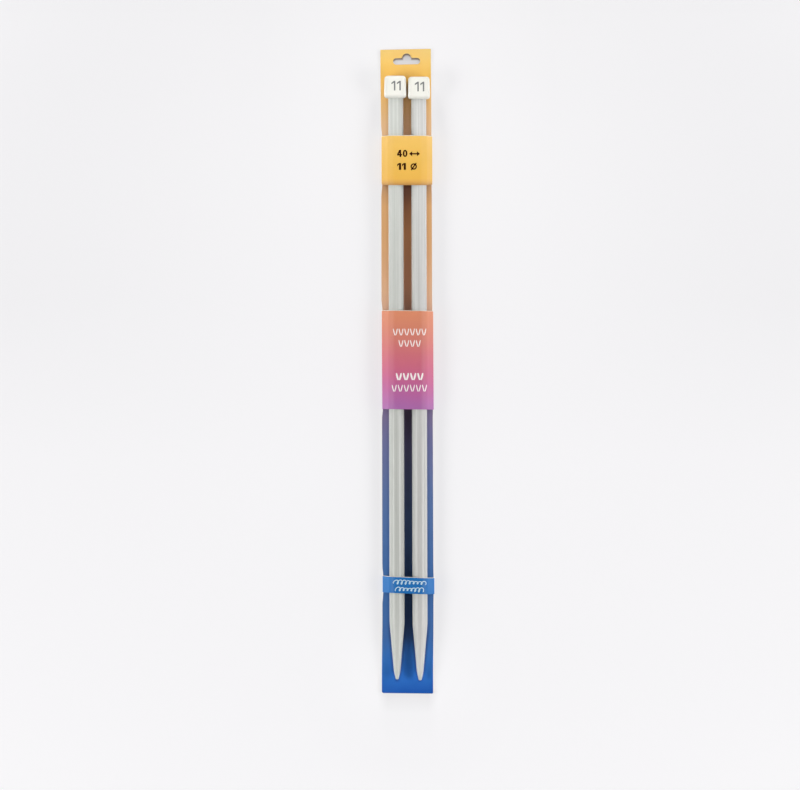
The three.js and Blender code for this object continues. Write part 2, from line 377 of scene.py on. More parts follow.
def painted_needle_shade_and_light(n, colour):
    """Painted shade on the card's print beside, between and under the needles and below the top band, and painted
    light between the points."""
    x = n.math("SUBTRACT", n.axis("X"), SHIFT_X * MM)
    y = n.axis("Y")
    across = n.math("ABSOLUTE", n.math("SUBTRACT", x, 0.55 * MM))
    # painted shade: the middle strip under and between the needles is darker and redder, less so near the caps and
    # none at the points
    kept = n.math(
        "MULTIPLY",
        n.range(across, 0.008, 0.012, 1.0, 0.0),
        n.math(
            "MULTIPLY",
            n.range(y, y_of(90) * MM, y_of(33) * MM, 1.0, 0.2),
            n.range(y, y_of(412) * MM, y_of(392) * MM, 0.0, 1.0),
        ),
    )
    colour = n.mix(kept, colour, (0.93, 0.80, 0.80, 1), "MULTIPLY")
    # the needles' outline, and how far a point is outside it
    half = n.math(
        "SUBTRACT",
        n.range(y, y_of(427.9) * MM, y_of(398.2) * MM, 2.3 * MM, 5.1 * MM),
        n.range(y, y_of(434.8) * MM, y_of(427.9) * MM, 2.3 * MM, 0.0),
    )
    left = n.math("ABSOLUTE", n.math("SUBTRACT", x, (NEEDLES["left"][0] + ASIDE["left"]) * MM))
    right = n.math("ABSOLUTE", n.math("SUBTRACT", x, (NEEDLES["right"][0] + ASIDE["right"]) * MM))
    outside = n.math("SUBTRACT", n.math("MINIMUM", left, right), half)
    between = n.math(
        "MULTIPLY",
        n.range(across, 0.006, 0.008, 1.0, 0.0),
        n.range(y, y_of(406) * MM, y_of(392) * MM, 0.0, 1.0),
    )
    # painted shade: the card darker within a few millimetres of the needles' sides, where their shadow falls; weaker
    # near the caps, bluer towards the points
    beside = n.math(
        "MULTIPLY",
        n.math("MULTIPLY", n.range(outside, 0.0, 0.0024, 1.0, 0.0), n.math("SUBTRACT", 1.0, between)),
        n.math(
            "MULTIPLY",
            n.range(y, y_of(300) * MM, y_of(220) * MM, 1.0, 0.62),
            n.math(
                "MULTIPLY",
                n.range(y, y_of(436.2) * MM, y_of(434.4) * MM, 0.0, 1.0),
                n.range(y, y_of(36) * MM, y_of(31) * MM, 1.0, 0.0),
            ),
        ),
    )
    beside_shade_colour = n.mix(
        n.range(y, y_of(290) * MM, y_of(170) * MM, 1.0, 0.0),
        (0.79, 0.69, 0.64, 1),
        (0.60, 0.65, 0.74, 1),
    )
    colour = n.mix(beside, colour, beside_shade_colour, "MULTIPLY")
    # painted shadow: a dark outline close round the tapered points
    points = n.math(
        "MULTIPLY",
        n.math("MULTIPLY", n.range(outside, 0.0002, 0.0017, 1.0, 0.0), n.math("SUBTRACT", 1.0, between)),
        n.math(
            "MULTIPLY",
            n.range(y, y_of(404) * MM, y_of(392) * MM, 1.0, 0.0),
            n.range(y, y_of(436.2) * MM, y_of(434.4) * MM, 0.0, 1.0),
        ),
    )
    colour = n.mix(points, colour, (0.72, 0.66, 0.70, 1), "MULTIPLY")
    # painted shade: darker still in the lower part of the trench between the needles, above the points
    trench_shade = n.math(
        "MULTIPLY",
        n.range(across, 0.006, 0.009, 1.0, 0.0),
        n.math(
            "MULTIPLY",
            n.range(y, y_of(372) * MM, y_of(340) * MM, 1.0, 0.0),
            n.range(y, y_of(410) * MM, y_of(396) * MM, 0.0, 1.0),
        ),
    )
    colour = n.mix(trench_shade, colour, (0.78, 0.74, 0.78, 1), "MULTIPLY")
    # painted light: the card paler and bluer between the points
    painted_light_between_points = n.math(
        "MULTIPLY",
        n.range(across, 0.002, 0.0058, 1.0, 0.0),
        n.math(
            "MULTIPLY",
            n.range(y, y_of(414) * MM, y_of(404) * MM, 1.0, 0.0),
            n.range(y, y_of(437) * MM, y_of(429) * MM, 0.0, 1.0),
        ),
    )
    colour = n.mix(painted_light_between_points, colour, (1.0, 1.16, 1.22, 1), "MULTIPLY")
    # painted shadow under the top band, and a little below its edge
    top_band_shadow = n.math(
        "MULTIPLY",
        n.range(y, y_of(108) * MM, y_of(97) * MM, 0.0, 1.0),
        n.range(y, y_of(76) * MM, y_of(66) * MM, 1.0, 0.0),
    )
    colour = n.mix(top_band_shadow, colour, (0.83, 0.81, 0.90, 1), "MULTIPLY")
    # painted shadow: darker still between the needles under the top band and just below it
    inner = n.math(
        "MULTIPLY",
        n.range(across, 0.006, 0.009, 1.0, 0.0),
        n.math(
            "MULTIPLY",
            n.range(y, y_of(126) * MM, y_of(100) * MM, 0.0, 1.0),
            n.range(y, y_of(76) * MM, y_of(66) * MM, 1.0, 0.0),
        ),
    )
    return n.mix(inner, colour, (0.70, 0.58, 0.62, 1), "MULTIPLY")


# the card's printed colours, with painted shade and light round the needles laid over them
CARD_PRINT_AND_SHADE = printed_paper(
    "card_print",
    lambda n: painted_needle_shade_and_light(n, n.ramp(
        along(n, 0, CARD_LENGTH),
        [
            (0.00, srgb(230, 194, 112)),
            (0.05, srgb(240, 189, 94)),
            (0.12, srgb(248, 203, 153)),
            (0.22, srgb(242, 189, 130)),
            (0.32, srgb(246, 192, 141)),
            (0.40, srgb(252, 203, 172)),
            (0.50, srgb(177, 143, 168)),
            (0.58, srgb(146, 137, 183)),
            (0.68, srgb(118, 142, 198)),
            (0.80, srgb(89, 137, 205)),
            (0.91, srgb(77, 129, 202)),
            (0.95, srgb(58, 130, 217)),
            (1.00, srgb(3, 84, 174)),
        ],
        "CARDINAL",
    )),
)
BOARD_EDGE = cut_board("card_edge", srgb(226, 214, 196), srgb(206, 192, 172))
BOARD_BACK = plain_board("card_back", srgb(214, 206, 192), srgb(158, 146, 128))
PAPER_EDGE = cut_board("paper_edge", srgb(240, 234, 222), srgb(222, 214, 200))
PAPER_INSIDE = plain_board("paper_inside", srgb(236, 232, 224), srgb(208, 202, 190))

YELLOW = printed_paper(
    "band_yellow",
    lambda n: n.ramp(
        along(n, 59.8, 93.9, 0.8),
        [
            (0.0, srgb(236, 190, 96)),
            (0.45, srgb(231, 183, 80)),
            (0.86, srgb(231, 179, 74)),
            # painted shade: darker and browner over the last few millimetres, where the lower edge curls under
            (0.93, srgb(218, 164, 78)),
            (1.0, srgb(182, 132, 74)),
        ],
    ),
)
CORAL = printed_paper(
    "band_coral",
    lambda n: n.ramp(
        along(n, 179.7, 247),
        [
            (0.0, srgb(223, 142, 104)),
            (0.2, srgb(216, 131, 109)),
            (0.38, srgb(212, 118, 118)),
            (0.6, srgb(208, 104, 133)),
            (0.78, srgb(197, 98, 153)),
            (1.0, srgb(172, 111, 178)),
        ],
        "B_SPLINE",
    ),
)
BLUE = printed_paper(
    "band_blue",
    lambda n: n.ramp(
        along(n, 362, 375), [(0.0, srgb(23, 118, 192)), (1.0, srgb(19, 112, 188))]
    ),
)


def streaked_plastic(name):
    """Satin plastic drawn along its length: faint lines of flow in colour, gloss and height."""
    n = Nodes(name)
    lines = n.noise(n.coordinates((1.0, 0.006, 1.0), "UV"), 1.0, 5.0, 0.62)
    broad = n.noise(n.coordinates((0.28, 0.003, 1.0), "UV"), 1.0, 2.0, 0.5)
    cloud = n.noise(n.coordinates((1, 1, 1), "UV"), 0.05, 3.0, 0.5)
    fine = n.noise(n.coordinates((1, 1, 1), "UV"), 4.0, 2.0, 0.6)
    warm = n.range(n.axis("X"), -0.009, 0.009, 0.0, 1.0)
    dark = n.mix(warm, srgb(192, 195, 189), srgb(195, 195, 193))
    pale = n.mix(warm, srgb(209, 212, 207), srgb(212, 212, 210))
    colour = n.mix(n.range(lines, 0.3, 0.7, 0.0, 1.0), dark, pale)
    colour = n.shade(colour, broad, 0.985, 1.015)
    colour = n.shade(colour, cloud, 0.985, 1.01)
    rough = n.range(lines, 0.3, 0.7, 0.23, 0.30)
    n.bump([lines, fine], [0.00004, 0.000004], 0.8)
    return n.set(Base_Color=colour, Roughness=rough, Specular_IOR_Level=0.34, Coat_Weight=0.06, Coat_Roughness=0.2)


def moulded_plastic(name, colour_a, colour_b, roughness=0.34):
    n = Nodes(name)
    cloud = n.noise(n.coordinates(), 120.0, 3.0, 0.5)
    fine = n.noise(n.coordinates(), 3600.0, 2.0, 0.6)
    colour = n.mix(n.range(cloud, 0.3, 0.7, 0.0, 1.0), colour_a, colour_b)
    rough = n.range(cloud, 0.3, 0.7, roughness - 0.04, roughness + 0.05)
    n.bump([fine, cloud], [0.000005, 0.00004], 0.6)
    return n.set(Base_Color=colour, Roughness=rough, Specular_IOR_Level=0.5)


def ink(name, colour, roughness=0.60, gloss=0.3):
    n = Nodes(name)
    fine = n.noise(n.coordinates(), 4200.0, 3.0, 0.65)
    col = n.shade(colour, fine, 0.94, 1.06)
    rough = n.range(fine, 0.3, 0.7, roughness - 0.05, roughness + 0.05)
    n.bump([fine], [0.000004], 0.5)
    return n.set(Base_Color=col, Roughness=rough, Specular_IOR_Level=gloss)


NEEDLE = streaked_plastic("needle_grey")
IVORY = moulded_plastic("cap_ivory", srgb(230, 230, 222), srgb(235, 234, 227))
BROWN_INK = ink("ink_brown", srgb(50, 15, 2), gloss=0.08)
WHITE_INK = ink("ink_white", srgb(252, 246, 244))
CYAN_INK = ink("ink_cyan", srgb(210, 236, 244))
GREY_INK = ink("ink_grey", srgb(120, 122, 122))


# ------------------------------------------------------------------ card


def card_bow(s):
    """The card drifts a little to the left at both of its free ends."""
    return -0.35 * smooth((80 - s) / 80) - 0.45 * smooth((s - 386) / 50)


def card_lift(x, s):
    lift = 0.32 * max(0.0, (17 - s) / 17) ** 1.6
    foot = smooth((s - 415) / 28)
    lift += foot * (0.18 + 0.42 * (abs(x) / 18) ** 2)
    lift += 0.05 * wave(x * 0.04, s * 0.02, 3.1) * smooth((s - 400) / 30)
    return lift


def quad(a, b, c, steps):
    out = []
    for i in range(1, steps + 1):
        t = i / steps
        out.append(
            tuple((1 - t) ** 2 * p + 2 * t * (1 - t) * q + t * t * r for p, q, r in zip(a, b, c))
        )
    return out


def arc(cx, cy, r, a0, a1, steps, first=True):
    out = []
    for i in range(0 if first else 1, steps + 1):
        a = a0 + (a1 - a0) * i / steps
        out.append((cx + r * math.cos(a), cy + r * math.sin(a)))
    return out


def straight(a, b, pitch):
    """Points from just after a up to and with b."""
    n = max(1, round(math.dist(a, b) / pitch))
    return [(a[0] + (b[0] - a[0]) * i / n, a[1] + (b[1] - a[1]) * i / n) for i in range(1, n + 1)]


def card_loops():
    top = CARD_LENGTH / 2
    ht, hb = CARD_TOP_WIDTH / 2, CARD_BOTTOM_WIDTH / 2
    ct, cl, cr = 0.5, 1.5, 1.0
    outer = [(-ht, top - ct)]
    outer += straight(outer[-1], (-hb, -top + cl), 4.0)
    outer += quad(outer[-1], (-hb, -top), (-hb + cl, -top), 6)
    outer += straight(outer[-1], (hb - cr, -top), 2.6)
    outer += quad(outer[-1], (hb, -top), (hb, -top + cr), 6)
    outer += straight(outer[-1], (ht, top - ct), 4.0)
    outer += quad(outer[-1], (ht, top), (ht - ct, top), 5)
    outer += straight(outer[-1], (-ht + ct, top), 2.6)
    outer += quad(outer[-1], (-ht, top), (-ht, top - ct), 5)[:-1]

    r = (HOLE_BOTTOM_S - HOLE_WING_S) / 2
    half = HOLE_WIDTH / 2
    mid = y_of((HOLE_BOTTOM_S + HOLE_WING_S) / 2)
    wing = y_of(HOLE_WING_S)
    dome = y_of(HOLE_DOME_S) - HOLE_DOME_R
    low = y_of(HOLE_BOTTOM_S)
    a = 0.30
    hole = [(HOLE_X - half + r, low)]
    hole += straight(hole[-1], (HOLE_X + half - r, low), 1.4)
    hole += arc(HOLE_X + half - r, mid, r, -math.pi / 2, math.pi / 2, 16, False)
    hole += straight(hole[-1], (HOLE_X + HOLE_DOME_FOOT, wing), 1.2)
    on = (HOLE_X + HOLE_DOME_R * math.cos(a), dome + HOLE_DOME_R * math.sin(a))
    hole += quad(hole[-1], (HOLE_X + HOLE_DOME_R + 0.25, wing), on, 7)
    hole += arc(HOLE_X, dome, HOLE_DOME_R, a, math.pi - a, 20, False)
    hole += quad(hole[-1], (HOLE_X - HOLE_DOME_R - 0.25, wing), (HOLE_X - HOLE_DOME_FOOT, wing), 7)
    hole += straight(hole[-1], (HOLE_X - half + r, wing), 1.2)
    hole += arc(HOLE_X - half + r, mid, r, math.pi / 2, 1.5 * math.pi, 16, False)[:-1]
    return outer, hole


def inset(loop, distance):
    """The loop moved to its left by distance, point by point."""
    out = []
    n = len(loop)
    for i in range(n):
        p, a, b = loop[i], loop[i - 1], loop[(i + 1) % n]
        d1 = Vector((p[0] - a[0], p[1] - a[1])).normalized()
        d2 = Vector((b[0] - p[0], b[1] - p[1])).normalized()
        n1, n2 = Vector((-d1.y, d1.x)), Vector((-d2.y, d2.x))
        m = (n1 + n2).normalized()
        k = distance / max(0.4, m.dot(n1))
        out.append((p[0] + m.x * k, p[1] + m.y * k))
    return out


def inside(point, loop):
    x, y = point
    found = False
    j = len(loop) - 1
    for i in range(len(loop)):
        (xi, yi), (xj, yj) = loop[i], loop[j]
        if (yi > y) != (yj > y) and x < (xj - xi) * (y - yi) / (yj - yi) + xi:
            found = not found
        j = i
    return found


def near(point, loop, limit):
    return any(math.dist(point, q) < limit for q in loop)


def build_card():
    outer, hole = card_loops()               # both run with the board on one side
    edge = 0.11                              # the knife's rounding of the edge
    flat_outer = inset(outer, edge)
    flat_hole = inset(hole, -edge)
    no, nh = len(outer), len(hole)

    seeds = []
    y = -CARD_LENGTH / 2 + 2.0
    row = 0
    while y < CARD_LENGTH / 2 - 1.2:
        s = CARD_LENGTH / 2 - y
        close = s < 16
        step = 2.0 if close else 4.2
        half = card_half(s)
        x = -half + (2.2 if row % 2 else 3.2)
        while x < half - 1.2:
            p = (x, y)
            if not near(p, flat_hole, 0.9) and not inside(p, flat_hole) and not near(p, flat_outer, 1.0):
                seeds.append(p)
            x += 2.2 if close else 3.6
        y += step
        row += 1
    points = flat_outer + flat_hole + seeds
    edges = [(i, (i + 1) % no) for i in range(no)]
    edges += [(no + i, no + (i + 1) % nh) for i in range(nh)]
    got, _, tris, *_ = delaunay_2d_cdt([Vector(p) for p in points], edges, [], 0, 1e-7)
    assert len(got) == len(points)
    kept = []
    for t in tris:
        c = tuple(sum(got[i][k] for i in t) / 3 for k in range(2))
        if inside(c, flat_outer) and not inside(c, flat_hole):
            kept.append(tuple(t))
    # along a straight side a needle-thin triangle can lie just outside the outline
    rim = {frozenset(e) for e in edges}
    for t in list(kept):
        (ax, ay), (bx, by), (cx, cy) = (got[i] for i in t)
        if abs((bx - ax) * (cy - ay) - (cx - ax) * (by - ay)) > 0.004:
            continue
        for a, b in ((t[0], t[1]), (t[1], t[2]), (t[2], t[0])):
            if frozenset((a, b)) not in rim and sum(a in o and b in o for o in kept) == 1:
                kept.remove(t)
                break

    verts, faces, slots = [], [], []
    base = [(p[0], p[1]) for p in got]

    def place(p, z):
        x, y = p
        s = CARD_LENGTH / 2 - y
        side = smooth((abs(x) - 12.0) / 5.0)
        x += side * ((card_half(s) - edge_left(s)) if x < 0 else (edge_right(s) - card_half(s)))
        y += smooth((40 - s) / 26) * (0.36 + 0.018 * x) - smooth((s - 402) / 30) * (0.62 + 0.015 * x)
        return (x + card_bow(s), y, z + card_lift(p[0], s))

    front = len(verts)
    verts += [place(p, CARD_FRONT_Z) for p in base]
    back = len(verts)
    verts += [place(p, CARD_BACK_Z) for p in base]
    faces += [tuple(front + i for i in t) for t in kept]
    slots += [0] * len(kept)
    faces += [tuple(back + i for i in reversed(t)) for t in kept]
    slots += [2] * len(kept)

    # the wall between the two faces, rounded where the knife came through
    thick = CARD_FRONT_Z - CARD_BACK_Z
    for loop, count, first, sign in ((outer, no, 0, 1), (hole, nh, no, -1)):
        rings = [[front + first + i for i in range(count)]]
        for depth, off in ((0.035, 0.075), (0.11, 0.012), (0.2, 0.0), (thick - 0.14, 0.0), (thick - 0.05, 0.03)):
            ring = []
            for i, p in enumerate(inset(loop, sign * off)):
                rough = 0.012 * wave(p[0] * 1.7, p[1] * 1.7, depth * 5)
                z = CARD_FRONT_Z - depth
                ring.append(len(verts))
                q = place(p, z)
                verts.append((q[0] + rough, q[1] + rough, q[2]))
            rings.append(ring)
        rings.append([back + first + i for i in range(count)])
        for k, (r0, r1) in enumerate(zip(rings, rings[1:])):
            for i in range(count):
                j = (i + 1) % count
                faces.append((r0[i], r0[j], r1[j], r1[i]))
                slots.append(0 if k == 0 else 1 if k < len(rings) - 2 else 2)
    ob = new_object("printed_card", verts, faces, [CARD_PRINT_AND_SHADE, BOARD_EDGE, BOARD_BACK], slots, 40.0)
    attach(ob, "sleeve")
    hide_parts("back_card")
    return ob


# ------------------------------------------------------------------ bands


def band_section(s):
    """Outer face of a band at depth s, from the free end inside the lap, up the
    right flank, over the needles, down the left flank to the free end outside
    the lap: (x, z, outward normal x, z, stretch name)."""
    zc = axis_z(s)
    r = NEEDLE_R + BAND_CLEAR
    left = (-(edge_left(s) + 0.04) + 0.6, BAND_SKIN + 0.6, 0.6)
    right = (edge_right(s) + 0.13 - 0.5, 2 * BAND_SKIN + 0.5, 0.5)

    def tangent(fold, x, side):
        dx, dz = (x - fold[0]) * side, zc - fold[1]
        d = math.hypot(dx, dz)
        return math.atan2(dz, dx) - math.acos((fold[2] - r) / d)

    nr = tangent(right, NEEDLES["right"][0], 1)
    nl = tangent(left, NEEDLES["left"][0], -1)
    out = []

    def add(cx, cz, radius, angle, side, part):
        nx, nz = side * math.cos(angle), math.sin(angle)
        R = radius + BAND_SKIN
        out.append((cx + R * nx, cz + R * nz, nx, nz, part))

    def sweep(cx, cz, radius, a0, a1, steps, side, part, skip=False):
        for i in range(1 if skip else 0, steps + 1):
            add(cx, cz, radius, a0 + (a1 - a0) * i / steps, side, part)

    def run(steps, part):
        """Marks where a straight stretch of that many steps comes."""
        out.append(("run", steps, part))

    for i in range(9):
        x = -LAP_HALF + (right[0] + LAP_HALF) * i / 9
        out.append((x, BAND_SKIN, 0.0, -1.0, "lap_in"))
    sweep(right[0], right[1], right[2], -math.pi / 2, nr, 9, 1, "fold_right")
    run(7, "flank_right")
    sweep(NEEDLES["right"][0], zc, r, nr, math.pi / 2, 20, 1, "over_right")
    run(14, "bridge")
    sweep(NEEDLES["left"][0], zc, r, math.pi / 2, nl, 20, -1, "over_left")
    run(7, "flank_left")
    sweep(left[0], left[1], left[2], nl, -math.pi / 2, 9, -1, "fold_left")
    for i in range(1, 10):
        x = left[0] + (LAP_HALF - left[0]) * i / 9
        out.append((x, 0.0, 0.0, -1.0, "lap_out"))

    full = []
    for i, p in enumerate(out):
        if p[0] == "run":
            a, b = out[i - 1], out[i + 1]
            for k in range(1, p[1]):
                t = k / p[1]
                full.append(tuple(a[j] + (b[j] - a[j]) * t for j in range(4)) + (p[2],))
        else:
            full.append(p)
    return full


def band_offset(name, part, x, z, u, v, width):
    """How far the paper stands off its fitted place, along its outward normal.
    u runs along the section from 0 to 1, v across the band's width in mm."""
    if part.startswith("lap"):
        return 0.0
    low = width - v
    ease = 1.0 if not part.startswith("fold") else 0.35
    out = 0.03 * wave(u * 7.0, v * 0.05, len(name) * 1.7)
    out += 0.008 * wave(u * 16.0, v * 0.12, len(name) * 2.9)
    edge = 2.6
    if part == "bridge":
        t = (x - NEEDLES["left"][0]) / (NEEDLES["right"][0] - NEEDLES["left"][0])
        bow = 4 * t * (1 - t)
        out -= 0.16 * bow
        out -= 0.26 * bow * smooth((edge - low) / edge)
        out += 0.05 * bow * smooth((edge - v) / edge)
    if name == "top_band":
        out -= (0.20 if part.startswith("over") else 0.34) * max(0.0, (edge - low) / edge) ** 2
    out += 0.05 * smooth((1.3 - v) / 1.3) * (1 if part != "bridge" else 0.3)
    return out * ease


TRIM = {"top_band": (0.25, 0.9), "middle_band": (0.1, 0.8), "bottom_band": (0.2, 0.3)}


def build_band(name, print_material):
    s0, s1, fall = BANDS[name]
    s0, s1 = s0 + TRIM[name][0], s1 + TRIM[name][1]
    width = s1 - s0
    rows = max(12, round(width / 1.15))
    places = []
    for i in range(rows + 1):
        v = width * i / rows
        places.append(v)
    # closer rows at the two cut edges
    places = sorted(set([0.34, 0.7] + places + [width - 0.5, width - 0.15]))
    tan = math.tan(math.radians(fall))
    outer, inner = [], []
    count = 0
    for v in places:
        section = band_section(s0 + v)
        count = len(section)
        shell_out, shell_in = [], []
        for i, (x, z, nx, nz, part) in enumerate(section):
            u = i / (count - 1)
            d = band_offset(name, part, x, z, u, v, width)
            t = PAPER
            if part.startswith("lap"):
                t = PAPER if part == "lap_in" else PAPER + 0.02
            px, pz = x + nx * d, z + nz * d
            qx, qz = x + nx * (d - t), z + nz * (d - t)
            y = CARD_LENGTH / 2 - s0 - v
            if name == "top_band":
                y += 0.75 * smooth((abs(x) - 12.8) / 4.5) * smooth((v - width + 9.0) / 9.0)
            shell_out.append((px, y - tan * px, pz))
            shell_in.append((qx, y - tan * qx, qz))
        outer.append(shell_out)
        inner.append(shell_in)
    n = len(places)
    verts = [p for row in outer for p in row] + [p for row in inner for p in row]
    off = n * count
    faces, slots = [], []
    for i in range(n - 1):
        for j in range(count - 1):
            a, b = i * count + j, i * count + j + 1
            c, d = (i + 1) * count + j + 1, (i + 1) * count + j
            faces.append((a, b, c, d))
            slots.append(1 if i == 0 else 0)      # the ink stops just short of the upper cut
            faces.append((off + d, off + c, off + b, off + a))
            slots.append(2)
    for j in range(count - 1):
        faces.append((j, off + j, off + j + 1, j + 1))
        k = (n - 1) * count + j
        faces.append((k, k + 1, off + k + 1, off + k))
        slots += [1, 1]
    for i in range(n - 1):
        a, b = i * count, (i + 1) * count
        faces.append((a, b, off + b, off + a))
        c, d = a + count - 1, b + count - 1
        faces.append((c, off + c, off + d, d))
        slots += [1, 1]
    ob = new_object(
        f"{name}_paper", verts, faces, [print_material, PAPER_EDGE, PAPER_INSIDE], slots, 40.0
    )
    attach(ob, "sleeve")
    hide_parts(name)
    return ob


# ------------------------------------------------------------------ needles


def needle_point(side, x, along_axis, z):
    """From a needle's own frame (+Y towards its cap, 0 at the cap's underside) to the pack's."""
    x0, cap_s = NEEDLES[side]
    c, s = math.cos(LEAN), math.sin(LEAN)
    return (
        x0 + x,
        y_of(cap_s) + along_axis * c - z * s,
        axis_z(cap_s) + along_axis * s + z * c,
    )


def catmull(points, steps):
    out = []
    for i in range(len(points) - 1):
        p0 = points[max(0, i - 1)]
        p1, p2 = points[i], points[i + 1]
        p3 = points[min(len(points) - 1, i + 2)]
        for k in range(steps):
            t = k / steps
            out.append(
                tuple(
                    0.5
                    * (
                        2 * b
                        + (c - a) * t
                        + (2 * a - 5 * b + 4 * c - d) * t * t
                        + (3 * b - a - 3 * c + d) * t**3
                    )
                    for a, b, c, d in zip(p0, p1, p2, p3)
                )
            )
    out.append(points[-1])
    return out


def build_shaft(side):
    sides = 128
    seed = 1.3 if side == "left" else 7.9
    nose = catmull(
        [
            (0.0, 400.0),
            (0.52, 399.97),
            (0.90, 399.80),
            (1.14, 399.38),
            (1.34, 398.65),
            (1.58, 397.7),
            (2.02, 395.9),
            (2.42, 393.9),
        ],
        3,
    )[1:]
    cone = [(2.42 + (5.20 - 2.42) * t, 393.9 + (364.5 - 393.9) * t) for t in (0.06, 0.15, 0.3, 0.45, 0.6, 0.75, 0.88, 0.96)]
    shoulder = catmull([(5.20, 364.5), (5.34, 363.0), (5.44, 361.6), (5.49, 360.2), (5.5, 358.4)], 3)
    shaft = [(5.5, 355.0 - 11.3 * i) for i in range(31)]
    shaft += [(5.5, 9.0), (5.5, 4.0), (5.5, 1.0), (5.5, 0.2), (5.44, -0.06), (5.3, -0.2)]
    bore = [(4.05, -0.2), (3.92, -0.08), (BORE_R, 0.3), (BORE_R, 60), (BORE_R, 180), (BORE_R, 300), (BORE_R, BORE_END)]
    bore += [(3.2, BORE_END + 5.5), (2.2, BORE_END + 12.0), (1.0, BORE_END + 19.0)]
    profile = nose + cone + shoulder + shaft
    verts = []
    texture = []
    for k, (r, depth) in enumerate(profile + bore):
        outside = k < len(profile)
        for i in range(sides):
            a = 2 * math.pi * i / sides - math.pi / 2
            ripple = 0.0
            if outside and depth > -0.05:
                ca, sa = math.cos(a), math.sin(a)
                ripple = 0.016 * wave(ca * 3.1, sa * 3.1, seed + depth * 0.002)
                ripple += 0.009 * wave(ca * 7.5, sa * 7.5, seed * 2 + depth * 0.003)
                ripple *= min(1.0, r / 5.5) ** 1.5
            rr = r * (SLIM if outside else 1.0) + ripple
            verts.append(needle_point(side, ASIDE[side] + rr * math.cos(a), -depth, rr * math.sin(a)))
    rings = len(profile) + len(bore)
    faces = grid_faces(rings, sides, close_cols=True)
    tip = len(verts)
    verts.append(needle_point(side, ASIDE[side], -400.0, 0))
    end = len(verts)
    verts.append(needle_point(side, ASIDE[side], -(BORE_END + 20.0), 0))
    faces += [(tip, (i + 1) % sides, i) for i in range(sides)]
    last = (rings - 1) * sides
    faces += [(end, last + i, last + (i + 1) % sides) for i in range(sides)]
    girth = 2 * math.pi * NEEDLE_R
    depths = [d for _, d in profile + bore]

    def uv(index, face):
        """Girth and length in millimetres, so that the lines keep their true scale."""
        if index >= rings * sides:
            others = [v.index for v in face.verts if v.index < rings * sides]
            cols = [o % sides for o in others]
            if max(cols) - min(cols) > sides / 2:
                cols = [c + sides if c < sides / 2 else c for c in cols]
            return (girth * sum(cols) / len(cols) / sides, 0.0 if index == tip else BORE_END)
        col = index % sides
        cols = [v.index % sides for v in face.verts if v.index < rings * sides]
        if max(cols) - min(cols) > sides / 2 and col < sides / 2:
            col += sides
        return (girth * col / sides + seed * 50, NEEDLE_LENGTH - depths[index // sides])

    ob = new_object(f"{side}_needle", verts, faces, [NEEDLE], None, 50.0, uv)
    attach(ob, f"{side}_needle")
    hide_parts(f"{side}_shaft")
    return ob


FILLET_LOW = 2.2
FILLET_TOP = 2.1
BULGE = 0.14


def cap_half(h):
    """Half width of the cap's flat-sided body at height h above its underside, fillets included."""
    half = (CAP_SIZE + (CAP_TOP_SIZE - CAP_SIZE) * h / CAP_HEIGHT) / 2
    if h < FILLET_LOW:
        half -= FILLET_LOW - math.sqrt(max(0.0, FILLET_LOW**2 - (FILLET_LOW - h) ** 2))
    top = CAP_HEIGHT - h
    if top < FILLET_TOP:
        half -= FILLET_TOP - math.sqrt(max(0.0, FILLET_TOP**2 - (FILLET_TOP - top) ** 2))
    return half


def cap_bulge(x, half, h):
    mid = max(0.0, math.sin(math.pi * min(1.0, max(0.0, (h - 0.6) / (CAP_HEIGHT - 1.2)))))
    return BULGE * max(0.0, 1 - (x / half) ** 2) * mid**0.7


